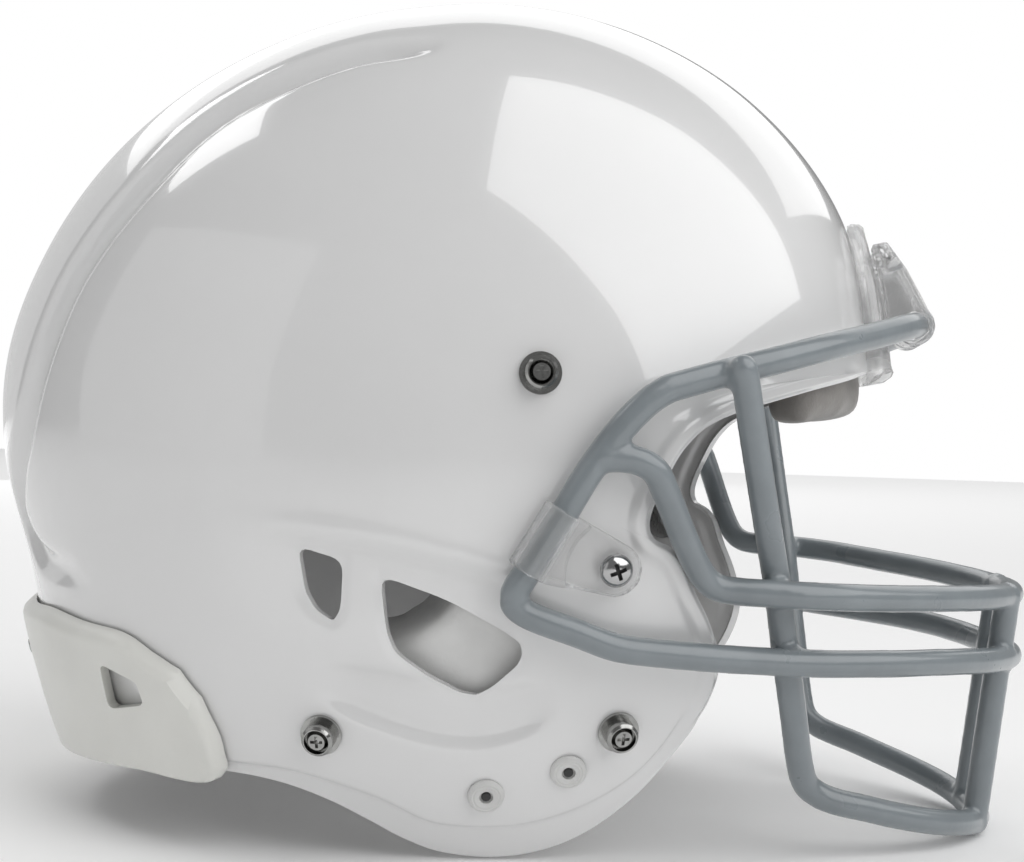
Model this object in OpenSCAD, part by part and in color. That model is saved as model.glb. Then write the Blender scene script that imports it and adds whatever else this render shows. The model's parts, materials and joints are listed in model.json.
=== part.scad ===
// American football helmet: a hard shell with its liner pads, face mask, mask
// straps, bumpers and chin-strap studs. Everything is drawn in the helmet's own
// frame first (+X to the face, +Y to the wearer's left, +Z up, origin O between
// the ears) and then stood on the floor by stand().

/* [Shell] */
// Half of the shell's width across the ears
half_width = 115; // [110:1:120]
// Roundness of the cross-section: 2 is an ellipse, more is boxier
roundness = 2.2; // [2.1:0.05:2.3]
// Thickness of the shell's wall
wall = 3.4; // [3:0.1:4]
// Rings of facets from the ear to the edge of one side
shell_rings = 8; // [6:1:12]

/* [Face mask] */
// Diameter of the coated mask wire
wire_d = 8.2; // [7:0.1:8.4]
// Sides of a bent wire
wire_sides = 10; // [8:1:16]
// Distance of the two centre bars from the middle plane
centre_bar_y = 15; // [12:0.5:18]

/* [Straps and bumpers] */
// Thickness of a mask strap
strap = 2; // [1.6:0.1:2.4]
// Width of a top strap
top_strap_w = 16; // [12:1:18]
// Distance of the top straps from the middle plane
top_strap_y = 17; // [16:0.5:19]
// Width of a side strap's loop
side_strap_w = 20; // [16:1:24]
// Thickness of the front bumper
front_bumper_t = 4; // [3:0.5:4.5]
// Thickness of the rear bumper
rear_bumper_t = 5; // [4:0.5:7]

/* [Pads] */
// Thickness of the liner pads
pad_t = 17; // [12:1:20]
// Thickness of the jaw pads
jaw_pad_t = 20; // [14:1:24]

/* [Fasteners] */
// Radius of a screw's shank
screw_r = 2; // [1.8:0.1:2.1]
// Radius of a chin-strap stud's waist, which the strap's snap grips
stud_r = 4.6; // [4.4:0.1:4.8]
// Height of a chin-strap stud's waist
stud_h = 3.6; // [3:0.1:4]

/* [Hidden] */
$fn = 48;
gap = 0.3;              // between pieces that lie against each other
bumper_gap = 0.8;       // between the shell's outside and a bumper
skin_gap = 1.2;         // between the wall's inside and what is fixed to it
inside = -wall - skin_gap;
wire_r = wire_d / 2;

// How the helmet stands: tipped back until the jaws and the mask share a floor
stand_pitch = -1.55;
stand_shift = [-30.92, 0, 117.18];

// Distance of the side profile from O, every 15 degrees from the face over the crown
profile = [154, 157, 161.5, 161, 157.5, 153, 148, 144.5, 143, 142.5, 142, 142,
           139, 135.5, 142, 154, 166, 171.5, 174, 174, 171, 165, 158, 154];
brow_angle = 9.8;
nape_angle = 218.5;
crown_steps = 24;

// Edge of the right side in side view [x, z], from behind the nape to the brow
edge = [[-110, -92.6], [-90, -92], [-64, -91.2], [-38.4, -92.8], [-20.6, -95.3], [-6.5, -100],
        [5, -106], [15, -112], [25.7, -116.5], [40, -118.3], [54, -116.6], [67.6, -111],
        [81.6, -100.5], [92, -89], [100.5, -77.5], [104.8, -67], [105.8, -57.5],
        [103.5, -47.5], [99.4, -37.6], [96.6, -29.5], [93, -25], [88.4, -22], [87.7, -16.5],
        [91.5, -7], [98, 4], [107.7, 11.4], [129, 18.4], [141.7, 22.1], [149.8, 25]];

ear_opening = [[12.9, -32.6], [32, -39.5], [51.8, -50.9], [52.5, -54.9], [51, -58.1],
               [43.4, -64.7], [38.8, -67.1], [33.9, -66.2], [26.3, -61.6], [17, -54.5],
               [14.7, -48.5]];
vent_opening = [[-10.7, -24.8], [2.4, -28.6], [1.7, -42.4], [-0.5, -45.9], [-5.6, -42.6],
                [-8.7, -37.3]];

// Fastener places on the right side in side view [x, z]
upper_stud = [58.1, 23.9];
rear_stud = [-5.5, -78.9];
front_stud = [77.8, -78.1];
side_screw = [77.2, -30.3];
jaw_rivets = [[40.4, -96.8], [63.7, -89.8]];
jaw_centre = [52, -92];
top_screw_angle = 22;
rear_screw_angle = 208;
rear_screw_turn = 76;

// Mask wires, right half, middle of the wire [x, y, z]
pivot = [164.5, 0, 40.2];
top_path = [[93.5, -105.8, 19.6], [107, -99.6, 23.5], [121, -91.5, 27.2], [136, -78, 31.5],
            [149.3, -60.3, 35.3], [160.5, -43, 38.8], [164.5, -28, 40.2], [164.5, -25, 40.2],
            [164.5, 0, 40.2]];
side_path = [[93.5, -105.8, 19.6], [88, -108, 15.8], [80.5, -110.2, 8], [72.5, -112.2, -3],
             [64.5, -113.4, -16.4], [57, -114.2, -28.5], [52.5, -114.4, -35.5],
             [52.7, -113.7, -40.6], [58, -111.9, -44], [68.5, -108.7, -48],
             [79, -104.7, -52.3], [91, -99, -54.5], [106.4, -91.5, -56.6]];
lower_path = [[106.4, -91.5, -56.6], [117.6, -86.5, -57.7], [126.4, -82.3, -58.6],
              [137.7, -76.5, -59.5], [149.5, -69, -60.3], [158.5, -62.5, -60.9],
              [169, -53, -61.7], [177.5, -43.5, -62.6], [186, -31, -63.9], [193, -15, -65.2],
              [196, 0, -65.7]];
upper_path = [[79, -110.7, 0.6], [82.5, -109.6, 0.4], [87, -108.2, -0.9], [90.2, -106.8, -3.4],
              [92, -105, -7.4], [94.2, -102, -13.5], [97, -98, -21.5], [100, -94, -29],
              [103, -91.2, -34.3], [107, -89.4, -37], [113, -88.4, -37.9],
              [121.6, -87.4, -38.4], [130, -85.6, -39], [140, -80.5, -39.8], [149, -73, -40.7],
              [158, -64.5, -41.6], [169, -53.5, -42.6], [177, -44, -43.4], [186, -31, -44.4],
              [193.5, -15, -45.3], [196.5, 0, -45.7]];
vertical_path = [[113.7, -104, 28], [114.3, -102, 22], [117, -94, 2], [120, -86, -19],
                 [122.8, -79.2, -38], [125, -76.4, -57], [127.3, -70, -76], [129, -63, -91],
                 [131, -59, -98.5], [135.5, -57, -102.3]];
bottom_path = [[135.5, -57, -102.3], [141, -55.3, -104.3], [148, -52, -106.3],
               [157, -47, -109.2], [168, -39, -112.5], [177.5, -28, -115.3],
               [183.5, -15, -117.5], [186, 0, -118.3]];
centre_top = [194, -45.5];
centre_foot = [183.9, -117.2];
centre_bar_end = 3;     // how far a centre bar runs past the middles of the wires it joins

// ---- Surface of the shell: a = angle in side view, f = angle out from the right ear
function radius(a) =
    let (t = (((a % 360) + 360) % 360) / 15, i = floor(t), u = t - i,
         p = [for (k = [-1:2]) profile[(i + k + 24) % 24]])
    p[1] + 0.5 * u * (p[2] - p[0] + u * (2 * p[0] - 5 * p[1] + 4 * p[2] - p[3]
        + u * (3 * (p[1] - p[2]) + p[3] - p[0])));
function skin(a, f, d = 0) =
    let (q = pow(max(0, sin(f)), 2 / roundness), c = cos(f), r = (radius(a) + d) * q)
    [r * cos(a), -(half_width + d) * sign(c) * pow(abs(c), 2 / roundness), r * sin(a)];
function turn_of(p) =
    let (a = atan2(p[1], p[0]), q = min(1, norm(p) / radius(a)))
    [a, asin(pow(q, roundness / 2))];
function unit(v) = v / norm(v);
function normal(a, f) =
    let (e = 0.5)
    unit(cross(skin(a, f + e) - skin(a, f - e), skin(a + e, f) - skin(a - e, f)));

module stand() {
    translate(stand_shift) rotate([0, stand_pitch, 0]) children();
}

module both_sides() {
    children();
    mirror([0, 1, 0]) children();
}

// Puts +Z along n at the point p
module along(p, n) {
    translate(p) rotate([0, acos(n[2]), atan2(n[1], n[0])]) children();
}

// Puts +Z along the outward normal at the place [x, z] on the right side
module at_place(place, d = 0) {
    t = turn_of(place);
    along(skin(t[0], t[1]) + d * normal(t[0], t[1]), normal(t[0], t[1])) children();
}

// A top screw stands square to the flat strap, not to the shell's cross-section
top_screw_turn = acos(pow(top_strap_y / half_width, roundness / 2));
module at_top_screw() {
    along(skin(top_screw_angle, top_screw_turn), normal(top_screw_angle, 90)) children();
}

module at_rear_screw() {
    along(skin(rear_screw_angle, rear_screw_turn), normal(rear_screw_angle, rear_screw_turn))
        children();
}

// The jaw pad's two rivets and its own pull share one direction
jaw_turn = turn_of(jaw_centre);
jaw_normal = normal(jaw_turn[0], jaw_turn[1]);
module at_jaw_rivet(place) {
    t = turn_of(place);
    along(skin(t[0], t[1]), jaw_normal) children();
}

// ---- Shell: rings of points from the ear out to the outline of the side view
ear_centre = [0, 30];
outline = concat(
    [for (k = [0:crown_steps - 1])
        let (a = brow_angle + (nape_angle - brow_angle) * k / (crown_steps - 1))
        radius(a) * [cos(a), sin(a)]],
    edge);
n_out = len(outline);

function shell_index(layer, side, k, j) =
    let (kk = k % n_out, s = (j == shell_rings && kk < crown_steps) ? 0 : side)
    (layer * 2 + s) * (1 + n_out * shell_rings)
        + (j == 0 ? 0 : 1 + (j - 1) * n_out + kk);
function facets(q, flip) = flip ? [[q[2], q[1], q[0]], [q[3], q[2], q[0]]]
                                : [[q[0], q[1], q[2]], [q[0], q[2], q[3]]];

module shell_body() {
    points = [for (layer = [0, 1], side = [0, 1], i = [0:n_out * shell_rings])
        let (j = ceil(i / n_out), k = (i - 1 + n_out) % n_out,
             reach = pow(sin(90 * j / shell_rings), 2 / roundness),
             t = turn_of(ear_centre + reach * (outline[k] - ear_centre)))
        skin(t[0], side == 0 ? t[1] : 180 - t[1], -layer * wall)];
    faces = [
        for (layer = [0, 1], side = [0, 1], k = [0:n_out - 1], j = [0:shell_rings - 1])
            let (i = function (kk, jj) shell_index(layer, side, kk, jj),
                 flip = (layer + side) % 2 == 1,
                 q = facets([i(k, j), i(k + 1, j), i(k + 1, j + 1), i(k, j + 1)], flip))
            each (j == 0 ? [flip ? q[1] : q[1]] : q),
        for (side = [0, 1], k = [crown_steps - 1:n_out - 1])
            let (i = function (layer, kk) shell_index(layer, side, kk, shell_rings))
            each facets([i(0, k), i(0, k + 1), i(1, k + 1), i(1, k)], side == 1)];
    polyhedron(points, faces, convexity = 6);
}

module side_cut(shape) {
    translate([0, -70, 0]) rotate([90, 0, 0]) linear_extrude(70) polygon(shape);
}

module hole(r, depth = 12) {
    translate([0, 0, -depth]) cylinder(r = r, h = 2 * depth);
}

nut_hole = 3.2;
rivet_hole = 2.7;

module shell() {
    color("white") stand() difference() {
        shell_body();
        both_sides() {
            side_cut(ear_opening);
            side_cut(vent_opening);
            for (p = [upper_stud, rear_stud, front_stud, side_screw]) at_place(p) hole(nut_hole);
            for (p = jaw_rivets) at_jaw_rivet(p) hole(rivet_hole);
            at_rear_screw() hole(nut_hole);
            at_top_screw() hole(nut_hole);
        }
    }
}

// ---- Blocks that follow the shell: rows of [a, f] between depths d0 and d1
module block(rows, d0, d1) {
    n = len(rows);
    m = len(rows[0]);
    points = [for (d = [d1, d0], r = rows, p = r) skin(p[0], p[1], d)];
    function at(layer, i, j) = layer * n * m + i * m + j;
    faces = [
        for (i = [0:n - 2], j = [0:m - 2]) each concat(
            facets([at(0, i, j), at(0, i, j + 1), at(0, i + 1, j + 1), at(0, i + 1, j)], false),
            facets([at(1, i, j), at(1, i, j + 1), at(1, i + 1, j + 1), at(1, i + 1, j)], true)),
        for (i = [0:n - 2]) each concat(
            facets([at(0, i, 0), at(0, i + 1, 0), at(1, i + 1, 0), at(1, i, 0)], false),
            facets([at(0, i, m - 1), at(0, i + 1, m - 1), at(1, i + 1, m - 1), at(1, i, m - 1)],
                   true)),
        for (j = [0:m - 2]) each concat(
            facets([at(0, 0, j), at(0, 0, j + 1), at(1, 0, j + 1), at(1, 0, j)], true),
            facets([at(0, n - 1, j), at(0, n - 1, j + 1), at(1, n - 1, j + 1), at(1, n - 1, j)],
                   false))];
    polyhedron(points, faces, convexity = 6);
}

// Rows run with f, and each row runs with a
function patch(a0, a1, f0, f1, na, nf) =
    [for (i = [0:nf]) [for (j = [0:na]) [a0 + (a1 - a0) * j / na, f0 + (f1 - f0) * i / nf]]];

module pad(a0, a1, f0, f1, t, na = 5, nf = 6, drop = 0) {
    block(patch(a0, a1, f0, f1, na, nf), inside - drop - t, inside - drop);
}

// Room in a pad for the nut of a screw that comes through the shell
module nut_pocket(extra = 0) {
    translate([0, 0, inside - nut_flange_h - 0.6 - extra])
        cylinder(r = flange_r + 0.6, h = 12);
}

module crown_pad() {
    color("dimgray") stand() pad(58, 132, 62, 118, pad_t);
}
module front_pad() {
    color("dimgray") stand() difference() {
        pad(4, 42, 60, 120, pad_t, drop = 0.8);
        both_sides() at_top_screw() nut_pocket(top_nut_drop);
    }
}
module back_pad() {
    color("dimgray") stand() difference() {
        pad(152, 212, 58, 122, pad_t);
        both_sides() at_rear_screw() nut_pocket();
    }
}
module side_pad() {
    color("dimgray") stand() difference() {
        pad(20, 160, 14, 46, pad_t, 9, 3);
        at_place(upper_stud) nut_pocket();
    }
}
module side_pad_right() {
    side_pad();
}
module side_pad_left() {
    mirror([0, 1, 0]) side_pad();
}

// ---- Bumpers
bumper_angles = [8.3, 27];
bumper_half_turn = [16.2, 11];
module front_bumper() {
    rows = [for (i = [0:8]) [for (j = [0:5])
        let (h = bumper_half_turn[0] + (bumper_half_turn[1] - bumper_half_turn[0]) * j / 5)
        [bumper_angles[0] + (bumper_angles[1] - bumper_angles[0]) * j / 5,
         90 + h * (i / 4 - 1)]]];
    color("whitesmoke") stand() difference() {
        block(rows, bumper_gap, bumper_gap + front_bumper_t);
        both_sides() at_top_screw() hole(screw_r + gap);
    }
}

// Angles of the rear bumper's top and bottom edges against its turn from the ear
rear_top = [[27, 232], [29, 226], [32.3, 218.5], [38, 213], [49.5, 206], [62, 203], [75, 201],
            [90, 199.8]];
rear_bottom = [[27, 239], [29, 244.5], [31, 247], [34.2, 247.8], [41.4, 235.4], [54.9, 226],
               [72.7, 220.6], [90, 219]];
rear_window = [[-76, -61.5], [-62.2, -65.9], [-60.1, -72.8], [-74, -75.5]];
rear_turns = [27, 29, 31, 34.2, 38, 42, 48, 55, 63, 72, 81, 90];
module rear_bumper() {
    turns = concat(rear_turns, [for (i = [len(rear_turns) - 2:-1:0]) 180 - rear_turns[i]]);
    rows = [for (f = turns)
        let (g = min(f, 180 - f), a0 = lookup(g, rear_top), a1 = lookup(g, rear_bottom))
        [for (j = [0:5]) [a0 + (a1 - a0) * j / 5, f]]];
    color("gainsboro") stand() difference() {
        block(rows, bumper_gap, bumper_gap + rear_bumper_t);
        both_sides() {
            side_cut(rear_window);
            at_rear_screw() hole(screw_r + gap);
        }
    }
}

// ---- Fasteners, drawn with +Z away from the shell and z = 0 on its outer face
screw_head_r = 3.4;
screw_head_h = 2;
flange_r = 7;
nut_flange_h = 1.4;

module screw(seat, length, head_r = screw_head_r) {
    difference() {
        union() {
            translate([0, 0, seat]) cylinder(r1 = head_r, r2 = head_r * 0.72, h = screw_head_h);
            translate([0, 0, seat - length]) cylinder(r = screw_r, h = length + 0.01);
        }
        for (turn = [0, 90])
            rotate([0, 0, turn]) translate([-1.8, -0.45, seat + screw_head_h - 1.2])
                cube([3.6, 0.9, 2]);
    }
}

module barrel_nut() {
    difference() {
        union() {
            translate([0, 0, inside - nut_flange_h]) cylinder(r = flange_r, h = nut_flange_h);
            translate([0, 0, inside - 0.01]) cylinder(r = nut_hole - 0.2, h = wall);
        }
        translate([0, 0, -20]) cylinder(r = screw_r + 0.05, h = 30);
    }
}

washer_r = 6;
washer_h = 1.2;
module chin_stud() {
    difference() {
        union() {
            cylinder(r = washer_r, h = washer_h);
            cylinder(r = stud_r, h = washer_h + stud_h);
            translate([0, 0, washer_h + stud_h]) cylinder(r1 = stud_r, r2 = stud_r - 0.7, h = 0.7);
        }
        translate([0, 0, -1]) cylinder(r = screw_r + 0.15, h = 10);
        translate([0, 0, washer_h + stud_h - 1.5]) cylinder(r = screw_head_r + 0.25, h = 5);
    }
}
stud_seat = washer_h + stud_h - 1.5;

module chin_stud_at(place) {
    color("dimgray") stand() at_place(place, 0.1) chin_stud();
}
module chin_stud_upper_right() {
    chin_stud_at(upper_stud);
}
module chin_stud_upper_left() {
    mirror([0, 1, 0]) chin_stud_at(upper_stud);
}
module chin_stud_rear_right() {
    chin_stud_at(rear_stud);
}
module chin_stud_rear_left() {
    mirror([0, 1, 0]) chin_stud_at(rear_stud);
}
module chin_stud_front_right() {
    chin_stud_at(front_stud);
}
module chin_stud_front_left() {
    mirror([0, 1, 0]) chin_stud_at(front_stud);
}
module chin_stud_screws() {
    color("silver") stand() both_sides()
        for (p = [upper_stud, rear_stud, front_stud]) at_place(p, 0.1) screw(stud_seat, 9);
}
module chin_stud_nuts() {
    color("silver") stand() both_sides()
        for (p = [upper_stud, rear_stud, front_stud]) at_place(p) barrel_nut();
}

module rear_bumper_screws() {
    color("silver") stand() both_sides() at_rear_screw() screw(bumper_gap + rear_bumper_t + gap, 11.4);
}
module rear_bumper_nuts() {
    color("silver") stand() both_sides() at_rear_screw() barrel_nut();
}

// ---- Jaw pads, held by two snap rivets each
rivet_head_r = 5.3;
snap_r = 4.2;
snap_depth = 4;
socket_r = 7;
socket_h = 3;
module jaw_rivets_of_one_side() {
    for (p = jaw_rivets) at_jaw_rivet(p) {
        translate([0, 0, 0.5]) cylinder(r1 = rivet_head_r, r2 = rivet_head_r - 0.8, h = 1.4);
        translate([0, 0, inside - 1.6]) cylinder(r = rivet_hole - 0.3, h = 1.7 - inside + 0.6);
        translate([0, 0, inside - 1.6 - snap_depth]) cylinder(r = snap_r, h = snap_depth);
    }
}
module jaw_sockets_of_one_side() {
    for (p = jaw_rivets) at_jaw_rivet(p)
        translate([0, 0, inside - 2 - snap_depth]) difference() {
            cylinder(r = socket_r, h = socket_h);
            translate([0, 0, -1]) cylinder(r = snap_r + 0.1, h = socket_h + 2);
        }
}
module jaw_pad_of_one_side() {
    difference() {
        pad(288, 330, 25, 44, jaw_pad_t, 5, 4);
        at_place(front_stud) nut_pocket();
        for (p = jaw_rivets) at_jaw_rivet(p)
            translate([0, 0, inside - 2 - snap_depth - 0.2]) cylinder(r = socket_r + 0.1, h = 20);
    }
}
module jaw_pad_right() {
    color("lightgray") stand() jaw_pad_of_one_side();
}
module jaw_pad_left() {
    mirror([0, 1, 0]) color("lightgray") stand() jaw_pad_of_one_side();
}
module jaw_pad_sockets_right() {
    color("black") stand() jaw_sockets_of_one_side();
}
module jaw_pad_sockets_left() {
    mirror([0, 1, 0]) color("black") stand() jaw_sockets_of_one_side();
}
module jaw_pad_rivets_right() {
    color("silver") stand() jaw_rivets_of_one_side();
}
module jaw_pad_rivets_left() {
    mirror([0, 1, 0]) color("silver") stand() jaw_rivets_of_one_side();
}

// ---- Mask straps
loop_r = wire_r + 0.1;
strap_d0 = bumper_gap + front_bumper_t + gap;
top_nut_drop = 1.2;
// Side view of a top strap: it lies on the bumper and thickens down to the loop
top_strap_back = [for (i = [0:6]) (radius(14 + i * 1.6) + strap_d0)
                                  * [cos(14 + i * 1.6), sin(14 + i * 1.6)]];
top_strap_face = [[155.8, 66.8], [162, 58], [169.2, 44]];
top_screw_seat = strap_d0 + strap + 1.2;
top_screw_head_r = 4;
module top_strap() {
    difference() {
        translate([0, top_strap_w / 2 - top_strap_y, 0]) rotate([90, 0, 0])
            linear_extrude(top_strap_w) union() {
                polygon(concat(top_strap_back, top_strap_face));
                translate([pivot[0], pivot[2]]) circle(r = loop_r + strap);
            }
        translate([pivot[0], 0, pivot[2]]) rotate([90, 0, 0])
            cylinder(r = loop_r, h = 80, center = true);
        at_top_screw() hole(screw_r + gap, 30);
        at_top_screw() translate([0, 0, top_screw_seat - gap / 2])
            cylinder(r = top_screw_head_r + gap, h = 20);
    }
}
module top_strap_right() {
    color("gainsboro") stand() top_strap();
}
module top_strap_left() {
    mirror([0, 1, 0]) color("gainsboro") stand() top_strap();
}
module top_strap_screws() {
    color("silver") stand() both_sides()
        at_top_screw() screw(top_screw_seat, 14, top_screw_head_r);
}
module top_strap_nuts() {
    color("silver") stand() both_sides()
        at_top_screw() translate([0, 0, -top_nut_drop]) barrel_nut();
}

// The side strap folds round the side bar and runs to a screw on the shell
side_bar_from = side_path[5];
side_bar_to = side_path[4];
side_middle = (side_bar_from + side_bar_to) / 2;
side_dir = unit(side_bar_to - side_bar_from);
side_turn = turn_of(side_screw);
side_out = normal(side_turn[0], side_turn[1]);
tail_r = 7.6;
tail_t = 2 * strap;
tail_lift = 1;
module side_strap() {
    difference() {
        hull() {
            along(side_middle - side_dir * side_strap_w / 2, side_dir)
                cylinder(r = loop_r + strap, h = side_strap_w, $fn = 32);
            at_place(side_screw, tail_lift) cylinder(r = tail_r, h = tail_t, $fn = 32);
        }
        along(side_middle - side_dir * side_strap_w, side_dir)
            cylinder(r = loop_r, h = 2 * side_strap_w);
        at_place(side_screw) hole(screw_r + gap, 30);
        at_place(side_screw, tail_lift + tail_t) cylinder(r = tail_r * 2, h = 20);
        shell_clear();
    }
}
// What the strap must not reach into: the space just above the shell
module shell_clear() {
    block(patch(-75, 10, 8, 46, 8, 6), -wall, gap);
}
module side_strap_right() {
    color("gainsboro") stand() side_strap();
}
module side_strap_left() {
    mirror([0, 1, 0]) color("gainsboro") stand() side_strap();
}
module side_strap_screws() {
    color("silver") stand() both_sides()
        at_place(side_screw, tail_lift + tail_t + 0.1) screw(0, 11, 4.6);
}
module side_strap_nuts() {
    color("silver") stand() both_sides() at_place(side_screw) barrel_nut();
}

// ---- Mask wires
// Points of a smooth curve through p, with steps points a span
function curve(p, steps) =
    let (n = len(p), pt = function (i) i < 0 ? 2 * p[0] - p[1]
                                      : i >= n ? 2 * p[n - 1] - p[n - 2] : p[i])
    [for (i = [0:n - 2], s = [0:steps - 1 + (i == n - 2 ? 1 : 0)])
        let (u = s / steps, a = pt(i - 1), b = pt(i), c = pt(i + 1), d = pt(i + 2))
        b + 0.5 * u * (c - a + u * (2 * a - 5 * b + 4 * c - d + u * (3 * (b - c) + d - a)))];
function mirrored(p) = [for (i = [len(p) - 1:-1:0]) [p[i][0], -p[i][1], p[i][2]]];
function joined(p) = concat(p, [for (i = [1:len(p) - 1]) mirrored(p)[i]]);

// A round wire along the points, kept level with the reference direction
module wire(points, reference = [0, 0, 1], sides = wire_sides) {
    n = len(points);
    r = wire_r;
    rings = [for (i = [0:n - 1])
        let (t = unit(points[min(i + 1, n - 1)] - points[max(i - 1, 0)]),
             u = unit(cross(t, reference)), v = cross(u, t))
        for (k = [0:sides - 1])
            points[i] + r * (cos(360 * k / sides) * u + sin(360 * k / sides) * v)];
    faces = concat(
        [[for (k = [0:sides - 1]) k]],
        [for (i = [0:n - 2], k = [0:sides - 1])
            let (a = i * sides + k, b = i * sides + (k + 1) % sides)
            each [[a, a + sides, b + sides], [a, b + sides, b]]],
        [[for (k = [sides - 1:-1:0]) (n - 1) * sides + k]]);
    polyhedron(rings, faces, convexity = 8);
}

mask_colour = "slategray";
module mask_top_bar() {
    color(mask_colour) stand() wire(curve(joined(top_path), 1), sides = 2 * wire_sides);
}
module mask_side_bar_right() {
    color(mask_colour) stand() wire(curve(side_path, 2));
}
module mask_side_bar_left() {
    mirror([0, 1, 0]) mask_side_bar_right();
}
module mask_lower_bar() {
    color(mask_colour) stand() wire(curve(joined(lower_path), 1));
}
module mask_upper_bar() {
    color(mask_colour) stand() wire(curve(joined(upper_path), 1));
}
module mask_vertical_bar_right() {
    color(mask_colour) stand() wire(curve(vertical_path, 2), [0, 1, 0]);
}
module mask_vertical_bar_left() {
    mirror([0, 1, 0]) mask_vertical_bar_right();
}
module mask_bottom_bar() {
    color(mask_colour) stand() wire(curve(joined(bottom_path), 1));
}
module mask_centre_bar_right() {
    top = [centre_top[0], -centre_bar_y, centre_top[1]];
    foot = [centre_foot[0], -centre_bar_y, centre_foot[1]];
    rise = unit(top - foot);
    color(mask_colour) stand() along(foot - rise * centre_bar_end, rise)
        cylinder(r = wire_r, h = norm(top - foot) + 2 * centre_bar_end);
}
module mask_centre_bar_left() {
    mirror([0, 1, 0]) mask_centre_bar_right();
}

shell();
front_bumper();
rear_bumper();
rear_bumper_screws();
rear_bumper_nuts();
crown_pad();
front_pad();
back_pad();
side_pad_right();
side_pad_left();
jaw_pad_right();
jaw_pad_left();
jaw_pad_sockets_right();
jaw_pad_sockets_left();
jaw_pad_rivets_right();
jaw_pad_rivets_left();
chin_stud_upper_right();
chin_stud_upper_left();
chin_stud_rear_right();
chin_stud_rear_left();
chin_stud_front_right();
chin_stud_front_left();
chin_stud_screws();
chin_stud_nuts();
top_strap_right();
top_strap_left();
top_strap_screws();
top_strap_nuts();
side_strap_right();
side_strap_left();
side_strap_screws();
side_strap_nuts();
mask_top_bar();
mask_side_bar_right();
mask_side_bar_left();
mask_lower_bar();
mask_upper_bar();
mask_vertical_bar_right();
mask_vertical_bar_left();
mask_bottom_bar();
mask_centre_bar_right();
mask_centre_bar_left();
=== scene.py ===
"""An american football helmet with its face mask, bumpers, straps, studs and liner pads."""

import json
import math

import bmesh
import bpy
import numpy as np
from mathutils import Matrix, Vector


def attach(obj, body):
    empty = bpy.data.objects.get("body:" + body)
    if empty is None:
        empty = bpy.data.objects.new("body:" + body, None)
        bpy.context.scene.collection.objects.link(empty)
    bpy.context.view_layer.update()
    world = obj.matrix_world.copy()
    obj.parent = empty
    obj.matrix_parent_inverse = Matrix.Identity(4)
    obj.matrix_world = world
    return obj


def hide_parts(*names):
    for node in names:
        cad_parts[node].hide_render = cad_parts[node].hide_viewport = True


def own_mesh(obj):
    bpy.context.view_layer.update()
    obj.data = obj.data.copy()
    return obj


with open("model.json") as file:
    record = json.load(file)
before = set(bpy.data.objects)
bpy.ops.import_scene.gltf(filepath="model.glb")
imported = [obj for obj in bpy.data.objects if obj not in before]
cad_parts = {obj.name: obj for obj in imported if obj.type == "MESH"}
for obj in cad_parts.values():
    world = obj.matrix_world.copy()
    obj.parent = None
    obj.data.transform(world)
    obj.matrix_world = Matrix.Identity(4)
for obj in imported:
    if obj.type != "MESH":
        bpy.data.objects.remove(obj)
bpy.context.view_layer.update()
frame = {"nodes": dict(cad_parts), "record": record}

# ---- The helmet's own frame is in millimetres, with its origin between the ears; it stands
# on the floor tipped back a little, and these two values put it there
MM = 0.001
STAND_PITCH = math.radians(-1.55)
STAND_SHIFT = Vector((-30.92, 0.0, 117.18))
STAND = Matrix.Scale(MM, 4) @ Matrix.Translation(STAND_SHIFT) @ Matrix.Rotation(STAND_PITCH, 4, "Y")

# ---- Shell
HALF_WIDTH = 115.0
ROUNDNESS = 2.2
WALL = 3.4
# distance of the side profile from the origin, every 15 degrees from the face over the crown
PROFILE = np.array([154, 157, 161.5, 161, 157.5, 153, 148, 144.5, 143, 142.5, 142, 142,
                    139, 135.5, 142, 154, 166, 171.5, 174, 174, 171, 165, 158, 154], float)
BROW_ANGLE = 9.8
NAPE_ANGLE = 218.5
EAR_CENTRE = np.array([20.0, 5.0])
EDGE = [(-110, -92.6), (-90, -92), (-64, -91.2), (-38.4, -92.8), (-20.6, -95.3), (-6.5, -100),
        (5, -106), (15, -112), (25.7, -116.5), (40, -118.3), (54, -116.6), (67.6, -111),
        (81.6, -100.5), (92, -89), (100.5, -77.5), (104.8, -67), (105.8, -57.5),
        (103.5, -47.5), (99.4, -37.6), (96.6, -29.5), (93, -25), (88.4, -22), (87.7, -16.5),
        (91.5, -7), (98, 4), (107.7, 11.4), (129, 18.4), (141.7, 22.1), (149.8, 25)]
EAR_OPENING = [(12.9, -32.6), (32, -39.5), (51.8, -50.9), (52.5, -54.9), (51, -58.1),
               (43.4, -64.7), (38.8, -67.1), (33.9, -66.2), (26.3, -61.6), (17, -54.5),
               (14.7, -48.5)]
VENT_OPENING = [(-10.7, -24.8), (2.4, -28.6), (1.7, -42.4), (-0.5, -45.9), (-5.6, -42.6),
                (-8.7, -37.3)]
# middle of the channel beside the central ridge, from its front end over the back
CHANNEL = [(16.8, 124.2), (-9.3, 120.2), (-42.7, 105.2), (-66.2, 83.7), (-88.4, 56.5),
           (-99.9, 32.1), (-109.3, 7.4), (-118.3, -15.3), (-109.8, -31.4), (-92.9, -35.6),
           (-75.4, -40.3)]
SIDE_CREASE = [(-36, -19.4), (3.3, -23.2), (27.8, -28), (44.3, -32.2), (56, -36)]
JAW_SCOOP = [(-9.5, -61.5), (10, -67.5), (33, -72.5), (50, -71.5), (62, -66)]
FLANGE = [(-60, -86.5), (-35.5, -89.1), (-15.1, -90.8), (8.5, -97.9), (22.1, -104.9), (31.4, -106.8),
          (47, -106.9), (60.6, -103.8), (73.4, -98.1), (83.4, -90.8), (91.5, -81.4), (97.8, -70.2)]
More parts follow.
